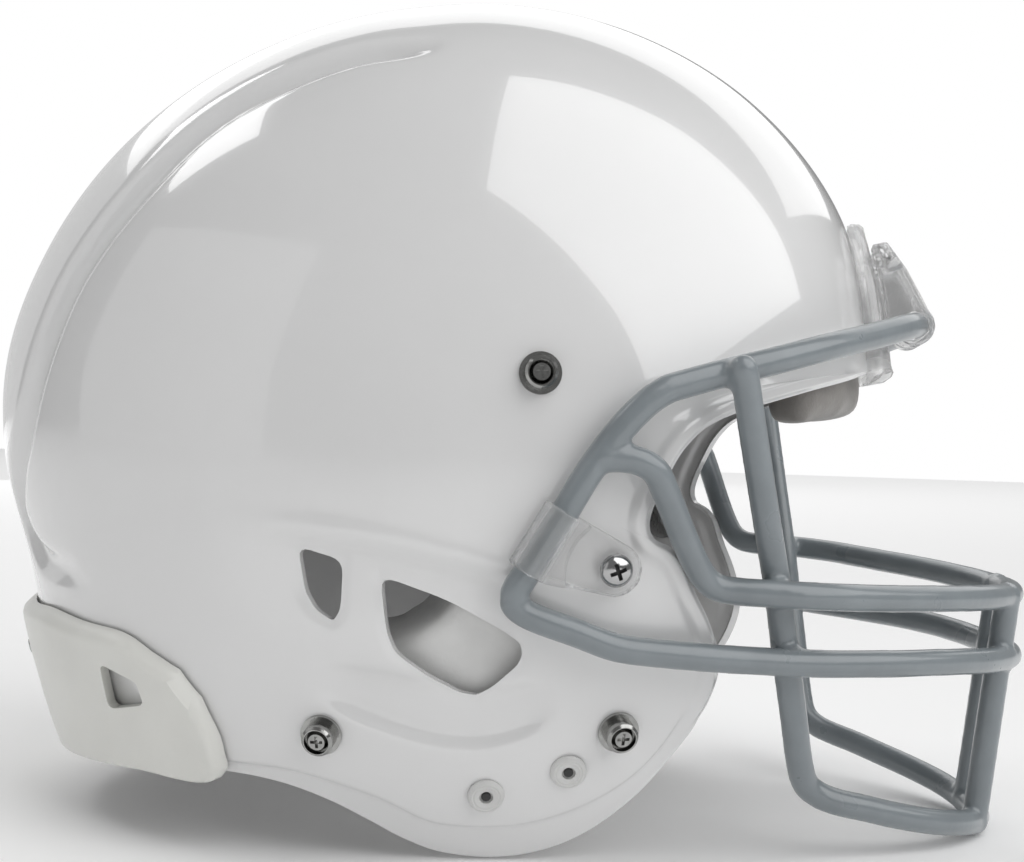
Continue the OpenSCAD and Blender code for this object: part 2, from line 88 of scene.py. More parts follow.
# the shell's grid: rings from the ear out, points over the crown, steps between edge points
SHELL_RINGS = 130
CROWN_POINTS = 260
EDGE_STEPS = 7
# of the edge's points, the first that borders the face opening
FACE_START = 14
# steps between the points of a long crease, so that its highlight runs evenly
FINE_STEPS = 16
# the cutters run from inside the shell to beyond its widest place
CUT_FROM, CUT_TO = -140.0, -60.0

# ---- Fasteners and straps, in side view
SIDE_SCREW = (77.2, -30.3)
SIDE_SCREW_SEAT = 5.1
SIDE_SCREW_TURN = math.radians(20)
TOP_SCREW_ANGLE = 22.0
TOP_SCREW_SEAT = 8.3
TOP_HEAD_SIZE = 0.84
TOP_STRAP_Y = 17.0
JAW_RIVETS = [(40.4, -96.8), (63.7, -89.8)]
JAW_CENTRE = (52, -92)
# how far the jaw pad's cover reaches back and up behind the ear opening, in metres
EAR_REACH = (-0.022, 0.016)

# ---- Mask wires, right half
WIRE_R = 4.1
WELD_R = 4.6
WIRE_STEPS = 5
CENTRE_BAR_Y = 15.0
TOP_PATH = [(93.5, -105.8, 19.6), (107, -99.6, 23.5), (121, -91.5, 27.2), (136, -78, 31.5),
            (149.3, -60.3, 35.3), (160.5, -43, 38.8), (164.5, -28, 40.2), (164.5, -25, 40.2),
            (164.5, 0, 40.2)]
SIDE_PATH = [(93.5, -105.8, 19.6), (88, -108, 15.8), (80.5, -110.2, 8), (72.5, -112.2, -3),
             (64.5, -113.4, -16.4), (57, -114.2, -28.5), (52.3, -114.4, -35.8),
             (52.0, -113.8, -39.9), (57, -112.1, -43.5), (68.5, -108.7, -48),
             (79, -104.7, -52.3), (91, -99, -54.5), (106.4, -91.5, -56.6)]
LOWER_PATH = [(106.4, -91.5, -56.6), (117.6, -86.5, -57.7), (126.4, -82.3, -58.6),
              (137.7, -76.5, -59.5), (149.5, -69, -60.3), (158.5, -62.5, -60.9),
              (169, -53, -61.7), (177.5, -43.5, -62.6), (186, -31, -63.9), (193, -15, -65.2),
              (196, 0, -65.7)]
UPPER_PATH = [(76.5, -111.2, 0.6), (82.5, -109.6, 0.4), (87, -108.2, -0.9), (90.2, -106.8, -3.4),
              (92, -105, -7.4), (94.2, -102, -13.5), (97, -98, -21.5), (100, -94, -29),
              (103, -91.2, -34.3), (107, -89.4, -37), (113, -88.4, -37.9),
              (121.6, -87.4, -38.4), (130, -85.6, -39), (140, -80.5, -39.8), (149, -73, -40.7),
              (158, -64.5, -41.6), (169, -53.5, -42.6), (177, -44, -43.4), (186, -31, -44.4),
              (193.5, -15, -45.3), (196.5, 0, -45.7)]
UPRIGHT_PATH = [(113.8, -103.4, 25), (114.4, -101.8, 21), (117, -94, 2), (120, -86, -19),
                (122.8, -79.2, -38), (125, -76.4, -57), (127.3, -70, -76), (129, -63, -91),
                (131, -59, -98.5), (135.5, -57, -102.3)]
BOTTOM_PATH = [(135.5, -57, -102.3), (141, -55.3, -104.3), (148, -52, -106.3),
               (157, -47, -109.2), (168, -39, -112.5), (177.5, -28, -115.3),
               (183.5, -15, -117.5), (186, 0, -118.3)]
CENTRE_BAR = [(183.9, -CENTRE_BAR_Y, -117.2), (194, -CENTRE_BAR_Y, -45.5)]

# ---- Camera: where it looks, and from where, in the helmet's own frame
LOOK_AT = (31.5, 0.0, 6.5)
VIEW_AZIMUTH = math.radians(9.8)
VIEW_ELEVATION = math.radians(0.7)
VIEW_DISTANCE = 583.5
FOCAL_LENGTH = 59.9

# ---- Even meshes: the grain of the remeshed pieces and of the pads, in metres
MASK_GRAIN = 0.0008
STRAP_GRAIN = 0.0006
PAD_GRAIN = 0.005
# a pad's cover swells over so many frames, and stays this close to the foam
SWELL_FRAMES = 14
SWELL_LIMIT = 0.0025


# ---- Geometry helpers -------------------------------------------------------------------
def between(a, b, c, d, u):
    """A smooth step from b to c, with a before them and d after."""
    return b + 0.5 * u * (c - a + u * (2 * a - 5 * b + 4 * c - d + u * (3 * (b - c) + d - a)))


def radius(angle):
    """Distance of the side profile from the origin at these angles, in degrees."""
    t = np.mod(angle, 360.0) / 15.0
    i = np.floor(t).astype(int)
    u = t - i
    a, b, c, d = (PROFILE[(i + k) % len(PROFILE)] for k in (-1, 0, 1, 2))
    return between(a, b, c, d, u)


def skin(angle, turn, depth=0.0):
    """Points of the shell: angle in side view, turn out from the right ear, depth outwards."""
    a, f = np.radians(angle), np.radians(turn)
    reach = (radius(angle) + depth) * np.maximum(np.sin(f), 0.0) ** (2 / ROUNDNESS)
    y = -(HALF_WIDTH + depth) * np.sign(np.cos(f)) * np.abs(np.cos(f)) ** (2 / ROUNDNESS)
    return np.stack([reach * np.cos(a), y, reach * np.sin(a)], axis=-1)


def turn_of(side):
    """The angle and turn of points (x, z) of the right side."""
    side = np.asarray(side, float)
    angle = np.degrees(np.arctan2(side[..., 1], side[..., 0]))
    q = np.minimum(1.0, np.hypot(side[..., 0], side[..., 1]) / radius(angle))
    return angle, np.degrees(np.arcsin(q ** (ROUNDNESS / 2)))


def on_skin(side, depth=0.0):
    """Points of the right side from their places (x, z) in side view."""
    angle, turn = turn_of(side)
    return skin(angle, turn, depth)


def curve(points, steps):
    """A smooth curve through the points, with so many steps a span."""
    p = np.asarray(points, float)
    p = np.vstack([2 * p[0] - p[1], p, 2 * p[-1] - p[-2]])
    out = []
    for i in range(1, len(p) - 2):
        for u in np.arange(steps) / steps:
            out.append(between(p[i - 1], p[i], p[i + 1], p[i + 2], u))
    out.append(p[-2])
    return np.array(out)


def smooth(x):
    """0 below 0, 1 above 1, and an even rise between."""
    t = np.clip(x, 0.0, 1.0)
    return t * t * (3 - 2 * t)


def along_line(points, line):
    """Distance to a line, the side of it (+ is right of its way, in side view), how far along."""
    best = np.full(len(points), 1e9)
    side = np.zeros(len(points))
    far = np.zeros(len(points))
    n = len(line) - 1
    for i in range(n):
        a, d = line[i], line[i + 1] - line[i]
        t = np.clip(((points - a) @ d) / max(d @ d, 1e-9), 0, 1)
        off = points - (a + t[:, None] * d)
        dist = np.linalg.norm(off, axis=1)
        nearer = dist < best
        best = np.where(nearer, dist, best)
        cross = d[0] * off[:, -1] - d[-1] * off[:, 0]
        side = np.where(nearer, -np.sign(cross), side)
        far = np.where(nearer, (i + t) / n, far)
    return best, side, far


def right_way_out(obj):
    """Faces of a closed mesh turned to face away from its inside."""
    mesh = bmesh.new()
    mesh.from_mesh(obj.data)
    bmesh.ops.recalc_face_normals(mesh, faces=mesh.faces)
    if mesh.calc_volume(signed=True) < 0:
        bmesh.ops.reverse_faces(mesh, faces=mesh.faces)
    mesh.to_mesh(obj.data)
    mesh.free()
    return obj


def new_object(name, vertices, faces, matrix=STAND):
    """A mesh object from points in the helmet's own frame."""
    mesh = bpy.data.meshes.new(name)
    mesh.from_pydata([tuple(matrix @ Vector(v)) for v in vertices], [], faces)
    mesh.validate()
    obj = bpy.data.objects.new(name, mesh)
    bpy.context.scene.collection.objects.link(obj)
    return right_way_out(obj)


def shade_smooth(obj, angle=None):
    """Smooth shading, but sharp along edges that turn by more than the angle, in degrees."""
    obj.data.polygons.foreach_set("use_smooth", [True] * len(obj.data.polygons))
    if angle is not None:
        mesh = bmesh.new()
        mesh.from_mesh(obj.data)
        for edge in mesh.edges:
            soft = edge.calc_face_angle(0.0) < math.radians(angle)
            edge.smooth = len(edge.link_faces) == 2 and soft
        mesh.to_mesh(obj.data)
        mesh.free()
    return obj


def apply_modifiers(obj):
    """The object with its modifiers made part of its mesh."""
    bpy.context.view_layer.update()
    graph = bpy.context.evaluated_depsgraph_get()
    mesh = bpy.data.meshes.new_from_object(obj.evaluated_get(graph))
    obj.modifiers.clear()
    obj.data = mesh
    return obj


def remeshed(obj, grain, rounds):
    """The object on an even mesh of this grain, its edges rounded in so many rounds."""
    even = obj.modifiers.new("even", "REMESH")
    even.mode = "VOXEL"
    even.voxel_size = grain
    apply_modifiers(obj)
    relax = obj.modifiers.new("round", "SMOOTH")
    relax.factor = 0.5
    relax.iterations = rounds
    return apply_modifiers(obj)


def cut_out(obj, tool):
    """The tool's shape taken out of the object, and the tool removed."""
    boolean = obj.modifiers.new(tool.name, "BOOLEAN")
    boolean.object = tool
    boolean.operation = "DIFFERENCE"
    boolean.solver = "MANIFOLD"
    apply_modifiers(obj)
    bpy.data.objects.remove(tool)


def prism_faces(n):
    """Faces of a prism whose two ends have n points each."""
    sides = [(i, n + i, n + (i + 1) % n, (i + 1) % n) for i in range(n)]
    return [tuple(range(n)), tuple(range(2 * n - 1, n - 1, -1)), *sides]


def join(name, parts):
    """One object from several, all already in the world's frame."""
    mesh = bmesh.new()
    for part in parts:
        mesh.from_mesh(part.data)
        bpy.data.objects.remove(part)
    out = bpy.data.meshes.new(name)
    mesh.to_mesh(out)
    mesh.free()
    obj = bpy.data.objects.new(name, out)
    bpy.context.scene.collection.objects.link(obj)
    return obj


def mirrored(obj, name):
    """A copy on the helmet's left side."""
    copy = obj.copy()
    copy.data = obj.data.copy()
    copy.name = name
    copy.data.transform(Matrix.Scale(-1, 4, (0, 1, 0)))
    copy.data.flip_normals()
    bpy.context.scene.collection.objects.link(copy)
    return copy


# ---- Materials --------------------------------------------------------------------------
def material(name, colour, roughness, metallic=0.0, mottle=0.03, mottle_scale=60.0,
             rough_spread=0.05, bump=0.0, bump_scale=400.0, coat=0.0, coat_roughness=0.03,
             transmission=0.0, ior=1.5, subsurface=0.0, sheen=0.0, wear=0.0, alpha=1.0):
    """A finish with slight variation of colour, gloss and surface, and light handling marks."""
    mat = bpy.data.materials.new(name)
    mat.use_nodes = True
    nodes, links = mat.node_tree.nodes, mat.node_tree.links
    shader = nodes["Principled BSDF"]
    place = nodes.new("ShaderNodeTexCoord")

    def noise(scale, detail=4.0, grain=0.5):
        node = nodes.new("ShaderNodeTexNoise")
        node.inputs["Scale"].default_value = scale
        node.inputs["Detail"].default_value = detail
        node.inputs["Roughness"].default_value = grain
        links.new(place.outputs["Object"], node.inputs["Vector"])
        return node.outputs["Fac"]

    def spread(source, low, high, start=0.3, stop=0.7):
        node = nodes.new("ShaderNodeMapRange")
        node.inputs["From Min"].default_value = start
        node.inputs["From Max"].default_value = stop
        node.inputs["To Min"].default_value = low
        node.inputs["To Max"].default_value = high
        links.new(source, node.inputs["Value"])
        return node.outputs["Result"]

    tint = nodes.new("ShaderNodeMix")
    tint.data_type = "RGBA"
    tint.inputs[6].default_value = (*[max(0.0, c * (1 - mottle)) for c in colour], 1)
    tint.inputs[7].default_value = (*[min(1.0, c * (1 + mottle)) for c in colour], 1)
    links.new(spread(noise(mottle_scale), 0.0, 1.0), tint.inputs[0])
    low, high = max(0.0, roughness - rough_spread), roughness + rough_spread
    gloss = spread(noise(mottle_scale * 0.6), low, high)
    if wear:
        # handling marks: small patches where the surface is rubbed duller
        marks = spread(noise(35.0, 9.0, 0.75), 0.0, wear, 0.62, 0.72)
        add = nodes.new("ShaderNodeMath")
        add.operation = "ADD"
        links.new(gloss, add.inputs[0])
        links.new(marks, add.inputs[1])
        gloss = add.outputs[0]
    links.new(tint.outputs[2], shader.inputs["Base Color"])
    links.new(gloss, shader.inputs["Roughness"])
    if bump:
        relief = nodes.new("ShaderNodeBump")
        relief.inputs["Strength"].default_value = bump
        relief.inputs["Distance"].default_value = 0.0004
        links.new(noise(bump_scale, 6.0), relief.inputs["Height"])
        links.new(relief.outputs["Normal"], shader.inputs["Normal"])
    values = {
        "Metallic": metallic,
        "Coat Weight": coat,
        "Coat Roughness": coat_roughness,
        "Coat IOR": ior,
        "Transmission Weight": transmission,
        "IOR": ior,
        "Subsurface Weight": subsurface,
        "Subsurface Radius": (0.01, 0.01, 0.01),
        "Sheen Weight": sheen,
        "Alpha": alpha,
    }
    for socket, value in values.items():
        shader.inputs[socket].default_value = value
    return mat


SHELL_WHITE = material("shell_white", (0.79, 0.79, 0.79), 0.16, mottle=0.012, mottle_scale=25,
                       rough_spread=0.02, bump=0.03, bump_scale=180, coat=1.0,
                       coat_roughness=0.02, ior=1.6, wear=0.04)
MASK_GREY = material("mask_grey", (0.225, 0.253, 0.270), 0.3, mottle=0.06, mottle_scale=90,
                     rough_spread=0.04, bump=0.1, bump_scale=500, coat=0.6, coat_roughness=0.13, wear=0.08)
BUMPER_GREY = material("bumper_grey", (0.79, 0.79, 0.755), 0.38, mottle=0.03, mottle_scale=40,
                       bump=0.15, bump_scale=600, subsurface=0.35, wear=0.08)
CLEAR = material("clear_plastic", (0.97, 0.97, 0.97), 0.05, mottle=0.01, rough_spread=0.03, bump=0.05,
                 bump_scale=200, transmission=0.9, ior=1.46, wear=0.06, alpha=0.68)
BRIGHT_STEEL = material("bright_steel", (0.5, 0.5, 0.5), 0.13, metallic=1.0, mottle=0.05,
                        mottle_scale=300, bump=0.1, bump_scale=900, wear=0.15)
DARK_NICKEL = material("dark_nickel", (0.40, 0.40, 0.39), 0.17, metallic=1.0, mottle=0.12,
                       mottle_scale=400, bump=0.12, bump_scale=900, wear=0.2)
PAD_GREY = material("pad_grey", (0.075, 0.072, 0.07), 0.62, mottle=0.15, mottle_scale=120, bump=0.5,
                    bump_scale=1500, sheen=0.25, wear=0.1)
BROW_PAD_GREY = material("brow_pad_grey", (0.27, 0.255, 0.24), 0.5, mottle=0.18, mottle_scale=90,
                         bump=0.4, bump_scale=1200, sheen=0.2, wear=0.1)
JAW_VINYL = material("jaw_vinyl", (0.80, 0.80, 0.79), 0.16, mottle=0.04, mottle_scale=80, bump=0.25,
                     bump_scale=700, wear=0.1)
# black plastic, and also the black painted into the screw heads' cross recesses as their shade
BLACK_PLASTIC_AND_RECESS_SHADE = material("black_plastic", (0.03, 0.03, 0.03), 0.5, mottle=0.2, bump=0.2, wear=0.1)
RIVET_WHITE = material("rivet_white", (0.66, 0.66, 0.65), 0.3, mottle=0.04, bump=0.08, wear=0.1)


def finish(obj, mat, body):
    """The object with its material and the body it moves with."""
    obj.data.materials.clear()
    obj.data.materials.append(mat)
    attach(obj, body)
    return obj


# ---- Shell ------------------------------------------------------------------------------
def shell_relief(points):
    """How far the moulded shapes stand out from the plain surface, on the right side."""
    side = points[:, [0, 2]]
    relief = np.zeros(len(points))

    # the channel on each side of the wide raised ridge over the crown and back
    line = curve(CHANNEL, FINE_STEPS)
    dist, way, far = along_line(points, on_skin(line))
    fade = smooth(far * 14 + 0.35) * (1 - smooth((far - 0.8) / 0.2))
    relief -= 3.6 * fade * (1 - smooth((dist - 1.6) / 4.2))
    raised = smooth(far * 7) * (1 - smooth((far - 0.62) / 0.2))
    relief += 1.2 * raised * smooth(way * dist / 6) * (1 - smooth((dist - 30) / 35))

    # the crease above the openings, under which the side is set back
    dist, way, far = along_line(side, curve(SIDE_CREASE, FINE_STEPS))
    ends = smooth(far * 5) * (1 - smooth((far - 0.9) * 10))
    below = smooth((way * dist + 1.2) / 3.4)
    relief -= 2.4 * ends * below * (1 - smooth((dist - 5) / 26))
    relief += 0.5 * ends * np.exp(-((way * dist + 2.5) / 3.0) ** 2)

    # the scoop below the ear
    dist, way, far = along_line(side, curve(JAW_SCOOP, FINE_STEPS))
    width = 1.5 + 5.0 * np.sin(np.pi * np.clip(far, 0, 1))
    ends = smooth(far * 5) * (1 - smooth((far - 0.8) * 5))
    relief -= 2.6 * ends * (1 - smooth((dist - width) / 4.5))

    # the rolled flange along the bottom edge
    dist, way, far = along_line(side, curve(FLANGE, 10))
    below = smooth((way * dist + 0.6) / 1.8) * (1 - smooth((dist - 18) / 6))
    relief -= 1.3 * smooth(far * 8) * (1 - smooth((far - 0.93) * 14)) * below

    # the raised lip round the face opening
    face = curve(EDGE, EDGE_STEPS)[FACE_START * EDGE_STEPS:]
    dist, _, far = along_line(side, face)
    relief += 1.5 * (1 - smooth((dist - 3.6) / 2.6)) * smooth(far * 8)
    relief -= 1.2 * (1 - smooth(dist / 1.6))

    # soft rims round the two openings
    for opening in (EAR_OPENING, VENT_OPENING):
        loop = np.array(opening + opening[:1], float)
        dist, _, _ = along_line(side, loop)
        relief -= 0.9 * (1 - smooth(dist / 2.2))
    return relief


def evened(values, rounds=3):
    """Values on the shell's grid, each mixed a little with its neighbours'."""
    n = (len(values) - 1) // SHELL_RINGS
    grid = values[1:].reshape(SHELL_RINGS, n)
    for _ in range(rounds):
        across = (np.roll(grid, 1, axis=1) + np.roll(grid, -1, axis=1)) / 2
        inner = np.vstack([grid[:1], grid[:-1]])
        outer = np.vstack([grid[1:], grid[-1:]])
        grid = 0.4 * grid + 0.3 * across + 0.15 * (inner + outer)
    return np.concatenate([values[:1], grid.ravel()])


def shell_outline():
    """The shell's side view as one closed line, and how many of its points are the crown's."""
    angles = np.linspace(BROW_ANGLE, NAPE_ANGLE, CROWN_POINTS)
    a = np.radians(angles)
    crown = radius(angles)[:, None] * np.stack([np.cos(a), np.sin(a)], axis=1)
    edge = curve([crown[-1], *EDGE, crown[0]], EDGE_STEPS)[1:-1]
    return np.vstack([crown, edge]), len(crown)


def shell_grid():
    """Points of the right half and the quads between them."""
    outline, crown = shell_outline()
    n = len(outline)
    reach = np.sin(np.radians(90 * np.arange(1, SHELL_RINGS + 1) / SHELL_RINGS)) ** (2 / ROUNDNESS)
    side = EAR_CENTRE + reach[:, None, None] * (outline - EAR_CENTRE)
    points = np.vstack([on_skin(EAR_CENTRE)[None], on_skin(side).reshape(-1, 3)])
    points[1 + (SHELL_RINGS - 1) * n:1 + (SHELL_RINGS - 1) * n + crown, 1] = 0.0

    def index(ring, k):
        return 0 if ring == 0 else 1 + (ring - 1) * n + k % n

    faces = [(0, index(1, k + 1), index(1, k)) for k in range(n)]
    for ring in range(1, SHELL_RINGS):
        for k in range(n):
            faces.append((index(ring, k), index(ring, k + 1),
                          index(ring + 1, k + 1), index(ring + 1, k)))
    return points, faces


def cutter(outline, name):
    """A prism through both sides of the shell."""
    vertices = [(x, y, z) for y in (CUT_FROM, CUT_TO) for x, z in outline]
    right = new_object(name, vertices, prism_faces(len(outline)))
    return join(name, [right, mirrored(right, name + "_left")])


def rounded(outline, cut=0.28):
    """The outline with its corners taken off in an arc."""
    p = np.array(outline, float)
    out = []
    for i in range(len(p)):
        before, here, after = p[i - 1], p[i], p[(i + 1) % len(p)]
        a, b = here + (before - here) * cut, here + (after - here) * cut
        for t in (0, 0.25, 0.5, 0.75, 1):
            out.append((1 - t) ** 2 * a + 2 * t * (1 - t) * here + t * t * b)
    return out


def outward_normals(points, faces):
    """The directions out of the plain shell at its points, and the way its faces wind."""
    helper = new_object("helper", points, faces, Matrix.Identity(4))
    helper.data.update()
    normals = np.array([v.normal for v in helper.data.vertices])
    bpy.data.objects.remove(helper)
    way = np.sign(((points - points.mean(0)) * normals).sum(1).mean())
    # on the middle plane they lie in it, so that the two halves meet
    normals[np.abs(points[:, 1]) < 1e-6, 1] = 0
    return way * normals / np.linalg.norm(normals, axis=1)[:, None], way


def wall_faces(faces, way, n):
    """The outside, the inside n points on, and the rim between them from nape to brow."""
    outline, crown = shell_outline()
    last_ring = 1 + (SHELL_RINGS - 1) * len(outline)
    rim = [last_ring + k for k in range(crown - 1, len(outline))] + [last_ring]
    outside = [f if way > 0 else f[::-1] for f in faces]
    inside = [tuple(n + i for i in reversed(f)) for f in outside]
    edge = [(a, a + n, b + n, b) if way > 0 else (a, b, b + n, a + n) for a, b in zip(rim, rim[1:])]
    return outside + inside + edge


def make_shell():
    points, faces = shell_grid()
    normals, way = outward_normals(points, faces)
    outer = points + normals * evened(shell_relief(points))[:, None]
    inner = outer - normals * WALL
    right = new_object("shell_right", np.vstack([outer, inner]), wall_faces(faces, way, len(points)))
    shell = join("shell_moulding", [right, mirrored(right, "shell_left")])
    mesh = bmesh.new()
    mesh.from_mesh(shell.data)
    bmesh.ops.remove_doubles(mesh, verts=mesh.verts, dist=2e-6)
    mesh.to_mesh(shell.data)
    mesh.free()
    right_way_out(shell)
    for opening, name in ((EAR_OPENING, "ear_cut"), (VENT_OPENING, "vent_cut")):
        cut_out(shell, cutter(rounded(opening), name))
    shade_smooth(shell, 38)
    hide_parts("shell")
    return finish(shell, SHELL_WHITE, "helmet")


# ---- Mask -------------------------------------------------------------------------------
def tube(name, path, r=WIRE_R, sides=20, rounded_start=False, rounded_end=False):
    """A wire of radius r along the path."""
    path = np.asarray(path, float)
    tangents = np.gradient(path, axis=0)
    tangents /= np.linalg.norm(tangents, axis=1)[:, None]
    steep = abs(tangents[:, 2]).mean() >= 0.75
    up = np.array([0.0, 1.0, 0.0] if steep else [0.0, 0.0, 1.0])
    stations = [(p, t, r) for p, t in zip(path, tangents)]
    steps = np.radians([22.5, 45, 67.5, 82])
    if rounded_start:
        p, t = path[0], tangents[0]
        stations = [(p - t * r * math.sin(a), t, r * math.cos(a)) for a in steps[::-1]] + stations
    if rounded_end:
        p, t = path[-1], tangents[-1]
        stations += [(p + t * r * math.sin(a), t, r * math.cos(a)) for a in steps]
    vertices, faces = [], []
    for p, t, size in stations:
        u = np.cross(t, up)
        u /= np.linalg.norm(u)
        v = np.cross(u, t)
        for k in range(sides):
            a = 2 * math.pi * k / sides
            vertices.append(p + size * (math.cos(a) * u + math.sin(a) * v))
    for i in range(len(stations) - 1):
        for k in range(sides):
            a, b = i * sides + k, i * sides + (k + 1) % sides
            faces.append((a, b, b + sides, a + sides))
    faces.append(tuple(range(sides - 1, -1, -1)))
    faces.append(tuple(range((len(stations) - 1) * sides, len(stations) * sides)))
    return new_object(name, vertices, faces)


def whole(path):
    """The right half of a bar and its mirror image as one route."""
    half = list(path)
    return half + [(x, -y, z) for x, y, z in half[-2::-1]]


def weld(point, r=WELD_R):
    """A round bead of weld at the point."""
    mesh = bmesh.new()
    place = Matrix.Translation(STAND @ Vector(point))
    bmesh.ops.create_icosphere(mesh, subdivisions=3, radius=r * MM, matrix=place)
    out = bpy.data.meshes.new("weld")
    mesh.to_mesh(out)
    mesh.free()
    obj = bpy.data.objects.new("weld", out)
    bpy.context.scene.collection.objects.link(obj)
    return obj


def nearest_points(a, b):
    """The points at which two routes come closest."""
    a, b = np.asarray(a, float), np.asarray(b, float)
    gaps = np.linalg.norm(a[:, None] - b[None], axis=2)
    i, j = np.unravel_index(gaps.argmin(), gaps.shape)
    return a[i], b[j]


def make_mask():
    """All the wires, welded into one piece under a smooth coat."""
    across = (TOP_PATH, UPPER_PATH, LOWER_PATH, BOTTOM_PATH)
    top, upper, lower, bottom = (curve(whole(path), WIRE_STEPS) for path in across)
    side, upright = curve(SIDE_PATH, WIRE_STEPS), curve(UPRIGHT_PATH, WIRE_STEPS)
    centre = curve(CENTRE_BAR, 12)
    crossings = [(upright, top), (upright, upper), (upright, lower), (centre, upper),
                 (centre, lower), (centre, bottom), (side, upper)]
    bars = [tube("top", top), tube("lower", lower), tube("upper", upper), tube("bottom", bottom)]
    welds = []
    for way in (1, -1):
        flip = np.array([1, way, 1])
        bars += [tube("side", side * flip), tube("upright", upright * flip, rounded_start=True),
                 tube("centre", centre * flip, rounded_start=True, rounded_end=True)]
        for a, b in crossings:
            p, q = nearest_points(a * flip, b)
            welds.append(weld((p + q) / 2))
        for end in (side[0], side[-1], bottom[0]):
            welds.append(weld(end * flip, WIRE_R))
    mask = join("face_mask", bars + welds)
    shade_smooth(remeshed(mask, MASK_GRAIN, 10))
    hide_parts(*[n for n in frame["nodes"] if n.startswith("mask_")])
    return finish(mask, MASK_GREY, "mask")


# ---- Bumpers ----------------------------------------------------------------------------
BUMPER_GAP = 0.8
REAR_THICKNESS, REAR_ROUND = 5.0, 3.0
REAR_TURN = 27
REAR_TOP = [(27, 232), (29, 226), (32.3, 218.5), (38, 213), (49.5, 206), (62, 203), (75, 201),
            (90, 199.8)]
REAR_BOTTOM = [(27, 239), (29, 244.5), (31, 247), (34.2, 247.8), (41.4, 235.4), (54.9, 226),
               (72.7, 220.6), (90, 219)]
REAR_WINDOW = [(-76, -61.5), (-62.2, -65.9), (-60.1, -72.8), (-74, -75.5)]
FRONT_THICKNESS, FRONT_ROUND = 4.0, 2.5
# angles of the front bumper's lower and upper edge, and its half width at each, in degrees
FRONT_LOW, FRONT_HIGH = 8.3, 27.0
FRONT_WIDE, FRONT_NARROW = 16.2, 11.0
FRONT_CORNER = 5.0
FRONT_BEAD = 0.6


def round_over(dist, edge_r, thickness):
    """A moulding's thickness at these distances from its edge."""
    t = np.clip(dist / edge_r, 0, 1)
    return thickness * (0.35 + 0.65 * np.sqrt(1 - (1 - t) ** 2))


def moulding(name, grid_angle, grid_turn, thickness_at):
    """A piece that lies on the shell over a grid of angles and turns.

    thickness_at gives its thickness at each distance from its own edge."""
    base = skin(grid_angle, grid_turn, BUMPER_GAP)
    flat = base.reshape(-1, 3)
    rim = np.vstack([base[0], base[:, -1], base[-1][::-1], base[::-1, 0]])
    dist, _, _ = along_line(flat, rim)
    outer = skin(grid_angle.ravel(), grid_turn.ravel(), BUMPER_GAP + thickness_at(dist))
    rows, cols = grid_angle.shape
    index = np.arange(rows * cols).reshape(rows, cols)
    n = index.size
    faces = []
    for i in range(rows - 1):
        for j in range(cols - 1):
            a, b, c, d = index[i, j], index[i, j + 1], index[i + 1, j + 1], index[i + 1, j]
            faces.append((a, b, c, d))
            faces.append((n + d, n + c, n + b, n + a))
    ring = [*index[0], *index[1:, -1], *index[-1, -2::-1], *index[-2:0:-1, 0]]
    for a, b in zip(ring, ring[1:] + ring[:1]):
        faces.append((b, a, n + a, n + b))
    return new_object(name, np.vstack([outer, flat]), faces)


def make_rear_bumper():
    def edge(table, turns):
        turn, angle = zip(*curve(table, 5))
        return np.interp(np.minimum(turns, 180 - turns), turn, angle)[:, None]

    rows, cols = 150, 40
    turns = np.linspace(REAR_TURN, 180 - REAR_TURN, rows)
    top, bottom = edge(REAR_TOP, turns), edge(REAR_BOTTOM, turns)
    grid_angle = top + (bottom - top) * np.linspace(0, 1, cols)
    grid_turn = np.repeat(turns[:, None], cols, axis=1)
    bumper = moulding("rear_bumper_moulding", grid_angle, grid_turn,
                      lambda dist: round_over(dist, REAR_ROUND, REAR_THICKNESS))
    cut_out(bumper, cutter(rounded(REAR_WINDOW, 0.2), "window_cut"))
    shade_smooth(bumper, 40)
    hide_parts("rear_bumper")
    return finish(bumper, BUMPER_GREY, "helmet")


def make_front_bumper():
    def thickness(dist):
        # a low bead runs round inside the edge
        bead = (1 - smooth((dist - 3.0) / 1.5)) * smooth((dist - 1.0) / 1.2)
        return round_over(dist, FRONT_ROUND, FRONT_THICKNESS) + FRONT_BEAD * bead

    rows, cols = 60, 40
    v = np.linspace(0, 1, cols)
    s = np.linspace(-1, 1, rows)[:, None]
    grid_turn = 90 + s * (FRONT_WIDE + (FRONT_NARROW - FRONT_WIDE) * v)
    # the upper corners are rounded off
    corner = smooth((np.abs(s) - 0.35) / 0.65) ** 2 * v
    grid_angle = FRONT_LOW + (FRONT_HIGH - FRONT_LOW) * v - FRONT_CORNER * corner
    bumper = moulding("front_bumper_moulding", grid_angle, grid_turn, thickness)
    shade_smooth(bumper, 40)
    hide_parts("front_bumper")
    return finish(bumper, CLEAR, "helmet")


# ---- Straps and small parts -------------------------------------------------------------
def soften(node, name):
    """A copy of a CAD node with its edges rounded."""
    source = frame["nodes"][node]
    obj = bpy.data.objects.new(name, source.data.copy())
    obj.matrix_world = source.matrix_world.copy()
    bpy.context.scene.collection.objects.link(obj)
    shade_smooth(remeshed(obj, STRAP_GRAIN, 4))
    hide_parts(node)
    return obj


def make_straps():
    """The clear top and side straps, their edges rounded."""
    for side in ("right", "left"):
        top = soften(f"top_strap_{side}", f"top_strap_moulding_{side}")
        finish(top, CLEAR, "helmet")
        strap = soften(f"side_strap_{side}", f"side_strap_moulding_{side}")
        finish(strap, CLEAR, "helmet")
        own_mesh(strap)


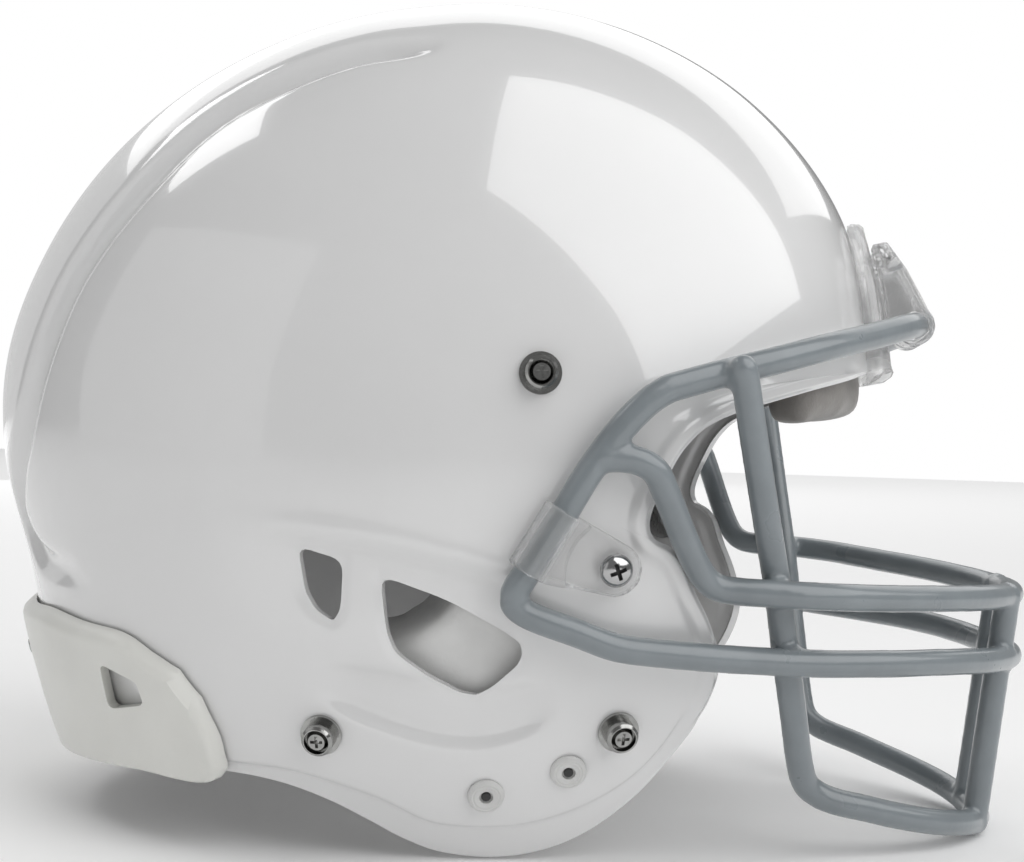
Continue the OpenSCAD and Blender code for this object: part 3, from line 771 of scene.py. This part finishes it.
def lathe(name, profile, place, sides=40):
    """A turned piece from (radius, height) points, on the frame place."""
    turns = [2 * math.pi * k / sides for k in range(sides)]
    vertices = [(0, 0, profile[0][1])]
    for r, h in profile[1:-1]:
        vertices += [(r * math.cos(a), r * math.sin(a), h) for a in turns]
    vertices.append((0, 0, profile[-1][1]))
    rows = len(profile) - 2
    last = 1 + (rows - 1) * sides
    faces = []
    for k in range(sides):
        j = (k + 1) % sides
        faces.append((0, 1 + j, 1 + k))
        for a in range(1, last, sides):
            faces.append((a + k, a + j, a + sides + j, a + sides + k))
        faces.append((last + k, last + j, len(vertices) - 1))
    return new_object(name, vertices, faces, STAND @ place)


def outward_frame(side, direction):
    """A frame on the shell at a point of the side view, its Z along the direction."""
    z = Vector(direction).normalized()
    x = Vector((0, 0, 1)).cross(z).normalized()
    y = z.cross(x)
    return Matrix.Translation(Vector(on_skin(side))) @ Matrix((x, y, z)).transposed().to_4x4()


def normal_at(side):
    """The shell's outward direction at a point of the side view."""
    step = 0.5
    here = np.array(side, float)
    ahead = on_skin(here + (step, 0)) - on_skin(here - (step, 0))
    above = on_skin(here + (0, step)) - on_skin(here - (0, step))
    out = np.cross(ahead, above)
    return out / np.linalg.norm(out) * np.sign(-out[1])


# pan head of a strap screw, and the four arms of its recess
PAN_HEAD = [(0, 2.7), (1.2, 2.68), (2.4, 2.45), (3.4, 2.0), (4.2, 1.3), (4.7, 0.5), (4.75, 0), (0, 0)]
RECESS_ARM, RECESS_HALF_WIDTH = 2.7, 0.62
RECESS_FLOOR, RECESS_MOUTH = 1.2, 4.0


def pan_head(name, at, size=1.0):
    """A screw head with a cross recess whose inside is painted black as the recess's shade, on the frame
    at.
    """
    at = at @ Matrix.Diagonal((size, size, 1, 1))
    head = lathe(name, PAN_HEAD, at)
    a, w = RECESS_ARM, RECESS_HALF_WIDTH
    cross = [(a, -w), (a, w), (w, w), (w, a), (-w, a), (-w, w),
             (-a, w), (-a, -w), (-w, -w), (-w, -a), (w, -a), (w, -w)]
    # the recess narrows towards its floor
    ends = ((RECESS_FLOOR, 0.7), (RECESS_MOUTH, 1.15))
    vertices = [(x * k, y * k, z) for z, k in ends for x, y in cross]
    tool = new_object(name + "_tool", vertices, prism_faces(len(cross)), STAND @ at)
    for obj in (head, tool):
        obj.data.materials.append(BRIGHT_STEEL)
        obj.data.materials.append(BLACK_PLASTIC_AND_RECESS_SHADE)
    # the recess's faces take the black: painted shade in the hollow
    tool.data.polygons.foreach_set("material_index", [1] * len(tool.data.polygons))
    cut_out(head, tool)
    return head


# jaw rivet: domed head with a fine groove round a small dark stud
RIVET_HEAD = [(0, 0.6), (1.9, 0.6), (2.0, 1.5), (3.4, 1.75), (3.7, 1.6), (3.9, 1.6), (4.2, 1.75),
              (4.9, 1.45), (5.3, 0.9), (5.3, 0.3), (0, 0.3)]
RIVET_STUD = [(0, 1.3), (1.3, 1.3), (1.4, 1.15), (1.4, 0.5), (0, 0.5)]


def mirrored_pair(name, part):
    """A part of the right side and its mirror image, as one piece."""
    return join(name, [part, mirrored(part, name + "_left")])


def side_screw_frame():
    """The seat of the right side strap's screw."""
    direction = Vector(normal_at(SIDE_SCREW))
    at = outward_frame(SIDE_SCREW, direction)
    at.translation += direction * SIDE_SCREW_SEAT
    return at @ Matrix.Rotation(SIDE_SCREW_TURN, 4, "Z")


def top_screw_frame():
    """The seat of the right top strap's screw."""
    turn = math.degrees(math.acos((TOP_STRAP_Y / HALF_WIDTH) ** (ROUNDNESS / 2)))
    slope = math.radians(TOP_SCREW_ANGLE)
    z = Vector((math.cos(slope), 0, math.sin(slope)))
    y = Vector((0, 1, 0))
    at = Matrix((y.cross(z), y, z)).transposed().to_4x4()
    at.translation = Vector(skin(TOP_SCREW_ANGLE, turn)) + z * TOP_SCREW_SEAT
    return at


def make_strap_screws():
    """The four pan heads that hold the straps, over the same shanks as in the CAD."""
    heads = (("side_strap_screws", side_screw_frame(), 1.0),
             ("top_strap_screws", top_screw_frame(), TOP_HEAD_SIZE))
    for node, at, size in heads:
        pair = mirrored_pair(node + "_heads", pan_head(node, at, size))
        shade_smooth(pair, 30)
        # the recesses' faces already have the second material's index: the black painted into them as
        # shade
        pair.data.materials.append(BRIGHT_STEEL)
        pair.data.materials.append(BLACK_PLASTIC_AND_RECESS_SHADE)
        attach(pair, "helmet")
        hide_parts(node)


def make_jaw_rivets():
    """The two discs on each jaw flap, which come away with the jaw pad."""
    direction = normal_at(JAW_CENTRE)
    for side in ("right", "left"):
        node = f"jaw_pad_rivets_{side}"
        heads, studs = [], []
        for place in JAW_RIVETS:
            at = outward_frame(place, direction)
            heads.append(lathe("head", RIVET_HEAD, at))
            studs.append(lathe("stud", RIVET_STUD, at))
        head = join(f"jaw_rivet_heads_{side}", heads)
        stud = join(f"jaw_rivet_studs_{side}", studs)
        finishes = ((head, RIVET_WHITE, "white_rivet"), (stud, BLACK_PLASTIC_AND_RECESS_SHADE, "black_plastic"))
        for obj, mat, slot in finishes:
            if side == "left":
                obj.data.transform(Matrix.Scale(-1, 4, (0, 1, 0)))
                obj.data.flip_normals()
            shade_smooth(obj, 35)
            finish(obj, mat, f"jaw_pad_{side}")
        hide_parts(node)


# ---- Pads -------------------------------------------------------------------------------
def reach_to_ear(obj):
    """The jaw pad's upper back end drawn out behind the ear opening."""
    points = np.array([v.co for v in obj.data.vertices])
    way = np.array(EAR_REACH) / np.linalg.norm(EAR_REACH)
    along = points[:, [0, 2]] @ way
    share = smooth((along - along.min()) / (along.max() - along.min()))
    points[:, [0, 2]] += share[:, None] * np.array(EAR_REACH)
    obj.data.vertices.foreach_set("co", points.ravel())


def add_cloth(obj):
    """A tight cover under a slight pressure from inside, with no weight."""
    cloth = obj.modifiers.new("cover", "CLOTH")
    settings = cloth.settings
    settings.quality = 5
    settings.mass = 0.15
    settings.tension_stiffness = 25
    settings.compression_stiffness = 25
    settings.shear_stiffness = 10
    settings.bending_stiffness = 0.5
    settings.use_pressure = True
    settings.uniform_pressure_force = 3.5
    settings.effector_weights.gravity = 0
    cloth.collision_settings.use_self_collision = False
    cloth.point_cache.frame_start = 1
    cloth.point_cache.frame_end = SWELL_FRAMES


def cushion(node, body, mat, shape=None):
    """A foam pad in a tight cover: the CAD solid, swollen against its own skin."""
    source = frame["nodes"][node]
    obj = bpy.data.objects.new(node + "_cover", source.data.copy())
    bpy.context.scene.collection.objects.link(obj)
    if shape:
        shape(obj)
    remeshed(obj, PAD_GRAIN, 6)
    rest = np.array([v.co for v in obj.data.vertices])
    add_cloth(obj)
    scene = bpy.context.scene
    for f in range(1, SWELL_FRAMES + 1):
        scene.frame_set(f)
    apply_modifiers(obj)
    scene.frame_set(1)
    move = np.array([v.co for v in obj.data.vertices]) - rest
    length = np.linalg.norm(move, axis=1, keepdims=True)
    now = rest + move * np.minimum(1.0, SWELL_LIMIT / np.maximum(length, 1e-9))
    obj.data.vertices.foreach_set("co", now.ravel())
    soft = obj.modifiers.new("soft", "SUBSURF")
    soft.levels = soft.render_levels = 1
    apply_modifiers(obj)
    shade_smooth(obj)
    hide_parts(node)
    return finish(obj, mat, body)


def make_pads():
    for node in ("crown_pad", "back_pad", "side_pad_right", "side_pad_left"):
        cushion(node, "helmet", PAD_GREY)
    cushion("front_pad", "helmet", BROW_PAD_GREY)
    for side in ("right", "left"):
        cushion(f"jaw_pad_{side}", f"jaw_pad_{side}", JAW_VINYL,
                shape=reach_to_ear)


FINISHES = {
    "bright_steel": BRIGHT_STEEL,
    "dark_nickel": DARK_NICKEL,
    "black_plastic": BLACK_PLASTIC_AND_RECESS_SHADE,
    "white_rivet": RIVET_WHITE,
    "clear_plastic": CLEAR,
}


def dress_cad_nodes():
    """The CAD nodes that stay get their finish by material slot."""
    for part in frame["record"]["subparts"]:
        node = frame["nodes"][part["node"]]
        if node.hide_render or part["material_slot"] not in FINISHES:
            continue
        for slot in node.material_slots:
            slot.material = FINISHES[part["material_slot"]]


# ---- Stage ------------------------------------------------------------------------------
ROOM_LIGHT = 0.21
FLOOR_WHITE, FLOOR_GLOW = 0.93, 0.06
FLOOR_HALF = (4, 3)
HELMET = (0, 0, 0)
FLOOR_BEHIND = (0, 2.5, 0)
# each soft box: name, centre, its two sides as vectors, radiance, and what it faces
SOFT_BOXES = [
    # over the brow; its clear edges show on the forehead
    ("brow_box", (0.6755, -0.7105, 1.2755), (1.141, 0.239, -1.664), (-0.11, 1.6, 0.155), 1.9, HELMET),
    # a wide screen behind, seen as white rims along the crown and the back of the helmet
    ("back_screen", (-1.3, 1.6, 0.8), (2.2, 1.6, 0), (0, 0, 1.8), 0.45, HELMET),
    # a small window above the back, seen in the channel and on the crown beside it
    ("crown_window", (-1.1, 0.2, 1.37), (0.14, 0.75, 0), (0.33, -0.1, 0.3), 3.0, HELMET),
    # a wide box over the floor behind the helmet, which keeps the backdrop white
    ("floor_box", (0, 2.5, 1.7), (4.6, 0, 0), (0, 3.0, 0), 1.1, FLOOR_BEHIND),
    # a dim wide box to the left of the camera
    ("left_box", (-2.0, -1.5, 0.95), (1.5, -1.9, 0), (0, 0, 2.1), 0.4, HELMET),
]


def soft_box(name, centre, across, up, radiance, target):
    """An area light whose sides run along across and up, on the side that faces the target."""
    light = bpy.data.lights.new(name, "AREA")
    light.shape = "RECTANGLE"
    across, up, centre = Vector(across), Vector(up), Vector(centre)
    light.size, light.size_y = across.length, up.length
    light.energy = radiance * math.pi * light.size * light.size_y
    x = across.normalized()
    z = x.cross(up.normalized()).normalized()
    y = z.cross(x)
    if z.dot(Vector(target) - centre) > 0:
        x, z = -x, -z
    obj = bpy.data.objects.new(name, light)
    obj.matrix_world = Matrix.Translation(centre) @ Matrix((x, y, z)).transposed().to_4x4()
    obj.visible_camera = False
    bpy.context.scene.collection.objects.link(obj)


def make_floor():
    x, y = FLOOR_HALF
    mesh = bpy.data.meshes.new("floor")
    mesh.from_pydata([(-x, -y, 0), (x, -y, 0), (x, y, 0), (-x, y, 0)], [], [(0, 1, 2, 3)])
    floor = bpy.data.objects.new("floor", mesh)
    bpy.context.scene.collection.objects.link(floor)
    floor.location.z = -0.0002
    paper = bpy.data.materials.new("paper")
    paper.use_nodes = True
    shader = paper.node_tree.nodes["Principled BSDF"]
    shader.inputs["Base Color"].default_value = (FLOOR_WHITE, FLOOR_WHITE, FLOOR_WHITE, 1)
    shader.inputs["Roughness"].default_value = 0.9
    shader.inputs["Emission Color"].default_value = (1, 1, 1, 1)
    shader.inputs["Emission Strength"].default_value = FLOOR_GLOW
    floor.data.materials.append(paper)


def make_world():
    """A dim even room, which the camera itself sees as white paper."""
    world = bpy.data.worlds.new("studio")
    world.use_nodes = True
    nodes, links = world.node_tree.nodes, world.node_tree.links
    room = nodes["Background"]
    room.inputs["Color"].default_value = (1, 1, 1, 1)
    room.inputs["Strength"].default_value = ROOM_LIGHT
    paper_white = nodes.new("ShaderNodeBackground")
    paper_white.inputs["Color"].default_value = (1, 1, 1, 1)
    ray = nodes.new("ShaderNodeLightPath")
    choose = nodes.new("ShaderNodeMixShader")
    links.new(ray.outputs["Is Camera Ray"], choose.inputs[0])
    links.new(room.outputs[0], choose.inputs[1])
    links.new(paper_white.outputs[0], choose.inputs[2])
    links.new(choose.outputs[0], nodes["World Output"].inputs["Surface"])
    bpy.context.scene.world = world


def make_stage():
    make_floor()
    make_world()
    bpy.context.scene.view_settings.view_transform = "Standard"
    for box in SOFT_BOXES:
        soft_box(*box)


def make_camera():
    direction = Vector((math.sin(VIEW_AZIMUTH) * math.cos(VIEW_ELEVATION),
                        -math.cos(VIEW_AZIMUTH) * math.cos(VIEW_ELEVATION), math.sin(VIEW_ELEVATION)))
    eye = Vector(LOOK_AT) + direction * VIEW_DISTANCE
    right = (-direction).cross(Vector((0, 0, 1))).normalized()
    up = right.cross(-direction)
    turn = Matrix.Rotation(STAND_PITCH, 3, "Y")
    camera = bpy.data.cameras.new("camera")
    camera.lens = FOCAL_LENGTH
    camera.sensor_width = 36.0
    camera.clip_start = 0.05
    obj = bpy.data.objects.new("camera", camera)
    axes = Matrix((turn @ right, turn @ up, turn @ direction)).transposed()
    obj.matrix_world = Matrix.Translation(STAND @ eye) @ axes.to_4x4()
    bpy.context.scene.collection.objects.link(obj)
    bpy.context.scene.camera = obj
    return obj


make_camera()
make_stage()
make_shell()
make_mask()
make_rear_bumper()
make_front_bumper()
make_straps()
make_strap_screws()
make_jaw_rivets()
make_pads()
dress_cad_nodes()
